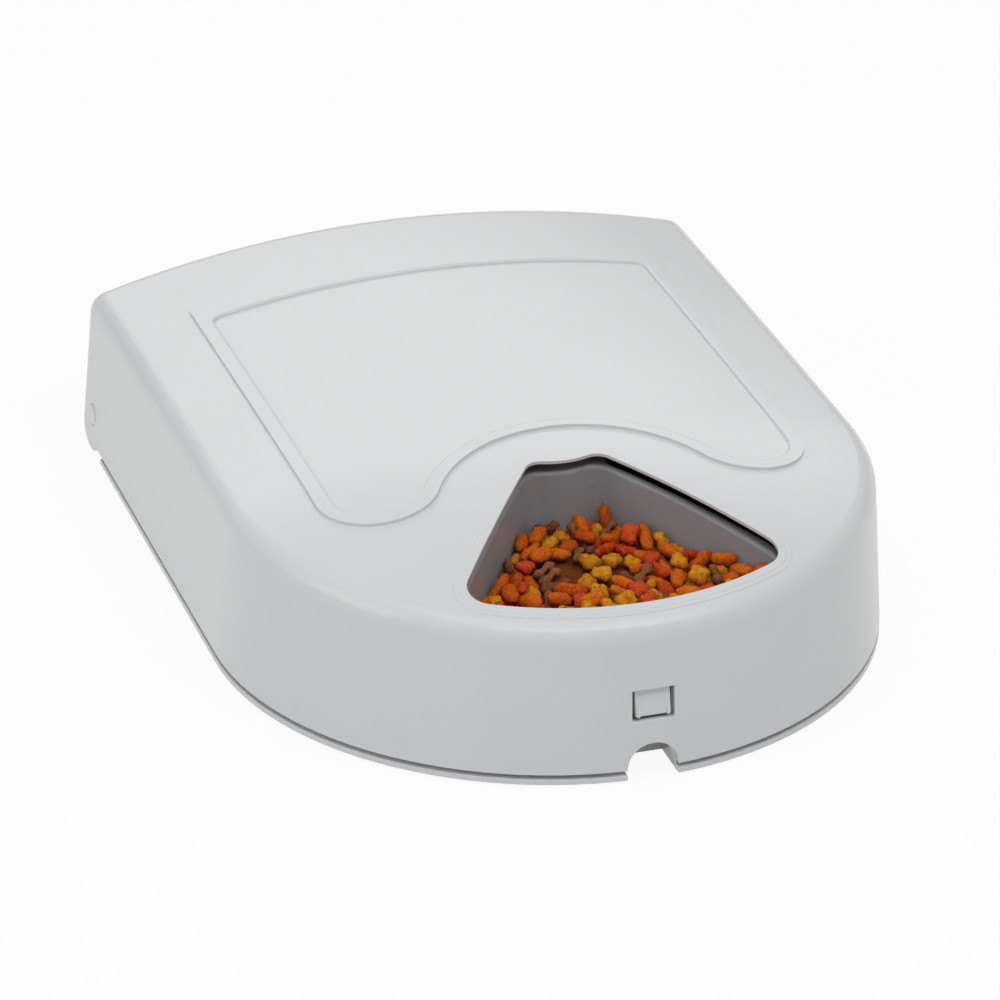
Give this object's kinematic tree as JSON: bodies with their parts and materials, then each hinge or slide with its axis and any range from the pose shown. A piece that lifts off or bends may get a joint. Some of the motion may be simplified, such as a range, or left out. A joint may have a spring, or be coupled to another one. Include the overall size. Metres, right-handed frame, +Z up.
{
  "type": "automatic pet feeder",
  "caption": "Round-fronted automatic dry-food feeder: domed lid with a window over a turning compartment tray, on a base with gear drive, battery bay and controls.",
  "frame": {"origin": "on the floor under the middle of the footprint", "axes": "+Z up, -Y to the round front with the finger notch, +X to the right seen from the front"},
  "size_m": [0.3006, 0.3956, 0.0955],
  "materials": {
    "shell_plastic": "light cool-grey moulded plastic, fine satin texture",
    "under_plastic": "light grey moulded plastic, coarser satin",
    "tray_plastic": "mid-grey moulded plastic, smooth satin",
    "dry_food": "baked dry kibble, mixed browns, oranges and yellows",
    "foot_rubber": "black rubber pads",
    "screw_steel": "zinc-plated screws",
    "axle_steel": "ground steel",
    "motor_steel": "drawn and plated steel can",
    "gear_plastic": "natural acetal",
    "gear_brass": "turned brass",
    "frame_plastic": "black moulded plastic",
    "dark_plastic": "black moulded plastic",
    "contact_metal": "nickel-plated spring steel",
    "console_plastic": "dark grey moulded plastic",
    "button_plastic": "light grey moulded caps",
    "lens_clear": "clear polycarbonate window",
    "display_glass": "grey-green liquid crystal glass",
    "board_laminate": "green solder-masked laminate",
    "cell_jacket": "plain dark shrink sleeve",
    "lead_red": "red insulated lead",
    "lead_black": "black insulated lead",
    "lead_grey": "grey sheathed lead"
  },
  "bodies": {
    "base": {"base_housing": "shell_plastic", "hinge_pin_left": "shell_plastic", "hinge_pin_right": "shell_plastic", "bottom_cover": "under_plastic", "cover_screws": "screw_steel", "rubber_feet": "foot_rubber", "battery_cell_1": "cell_jacket", "battery_cell_2": "cell_jacket", "battery_cell_3": "cell_jacket", "battery_cell_4": "cell_jacket", "contact_plates": "contact_metal", "contact_leaves": "contact_metal", "gearbox_frame": "frame_plastic", "gearbox_lid": "frame_plastic", "gearbox_screws": "screw_steel", "motor_can": "motor_steel", "motor_end_cap": "dark_plastic", "first_axle": "axle_steel", "second_axle": "axle_steel", "slot_sensor": "dark_plastic", "spindle_bush": "gear_plastic", "control_console": "console_plastic", "panel_screws": "screw_steel", "display_lens": "lens_clear", "lcd_module": "display_glass", "circuit_board": "board_laminate", "board_screws": "screw_steel", "circuit_chips": "dark_plastic", "tact_switches": "dark_plastic", "motor_lead_red": "lead_red", "motor_lead_black": "lead_black", "battery_lead_red": "lead_red", "battery_lead_black": "lead_black", "sensor_lead": "lead_grey"},
    "lid": {"lid": "shell_plastic"},
    "latch": {"lid_latch": "shell_plastic"},
    "tray": {"tray": "tray_plastic", "food_portion": "dry_food", "drive_spindle": "gear_plastic", "output_gear": "gear_plastic", "index_disc": "dark_plastic"},
    "second_gear": {"second_gear": "gear_plastic"},
    "first_gear": {"first_gear": "gear_plastic"},
    "motor_rotor": {"motor_pinion": "gear_brass"},
    "battery_door": {"battery_door": "under_plastic"},
    "button_1": {"button_1": "button_plastic"},
    "button_2": {"button_2": "button_plastic"},
    "button_3": {"button_3": "button_plastic"},
    "button_4": {"button_4": "button_plastic"},
    "button_5": {"button_5": "button_plastic"}
  },
  "joints": [
    {"name": "lid_hinge", "type": "hinge", "parent": "base", "child": "lid", "pos_m": [0, 0.1669, 0.0192], "axis": [-1, 0, 0], "range_deg": [0, 65]},
    {"name": "tray_turn", "type": "hinge", "parent": "base", "child": "tray", "pos_m": [0, -0.048, 0.0285], "axis": [0, 0, 1], "continuous": true},
    {"name": "second_gear_turn", "type": "hinge", "parent": "base", "child": "second_gear", "pos_m": [0.02706, -0.048, 0.016], "axis": [0, 0, 1], "continuous": true},
    {"name": "first_gear_turn", "type": "hinge", "parent": "base", "child": "first_gear", "pos_m": [0.03161, -0.03104, 0.02], "axis": [0, 0, 1], "continuous": true},
    {"name": "motor_turn", "type": "hinge", "parent": "base", "child": "motor_rotor", "pos_m": [0.03628, -0.01359, 0.02], "axis": [0, 0, 1], "continuous": true},
    {"name": "latch_press", "type": "hinge", "parent": "base", "child": "latch", "pos_m": [0, -0.1898, 0.0455], "axis": [1, 0, 0], "range_deg": [0, 14], "stiffness_Nm_per_rad": 0.5},
    {"name": "battery_door_hinge", "type": "hinge", "parent": "base", "child": "battery_door", "pos_m": [0, 0.17655, 0.00205], "axis": [1, 0, 0], "range_deg": [0, 90]},
    {"name": "button_1_press", "type": "slide", "parent": "base", "child": "button_1", "axis": [0, 0, -1], "range_m": [0, 0.0005], "stiffness_N_per_m": 1000},
    {"name": "button_2_press", "type": "slide", "parent": "base", "child": "button_2", "axis": [0, 0, -1], "range_m": [0, 0.0005], "stiffness_N_per_m": 1000},
    {"name": "button_3_press", "type": "slide", "parent": "base", "child": "button_3", "axis": [0, 0, -1], "range_m": [0, 0.0005], "stiffness_N_per_m": 1000},
    {"name": "button_4_press", "type": "slide", "parent": "base", "child": "button_4", "axis": [0, 0, -1], "range_m": [0, 0.0005], "stiffness_N_per_m": 1000},
    {"name": "button_5_press", "type": "slide", "parent": "base", "child": "button_5", "axis": [0, 0, -1], "range_m": [0, 0.0005], "stiffness_N_per_m": 1000}
  ],
  "couplings": [
    {"joint": "second_gear_turn", "follows": "tray_turn", "ratio": -4},
    {"joint": "first_gear_turn", "follows": "tray_turn", "ratio": 16},
    {"joint": "motor_turn", "follows": "tray_turn", "ratio": -80}
  ]
}
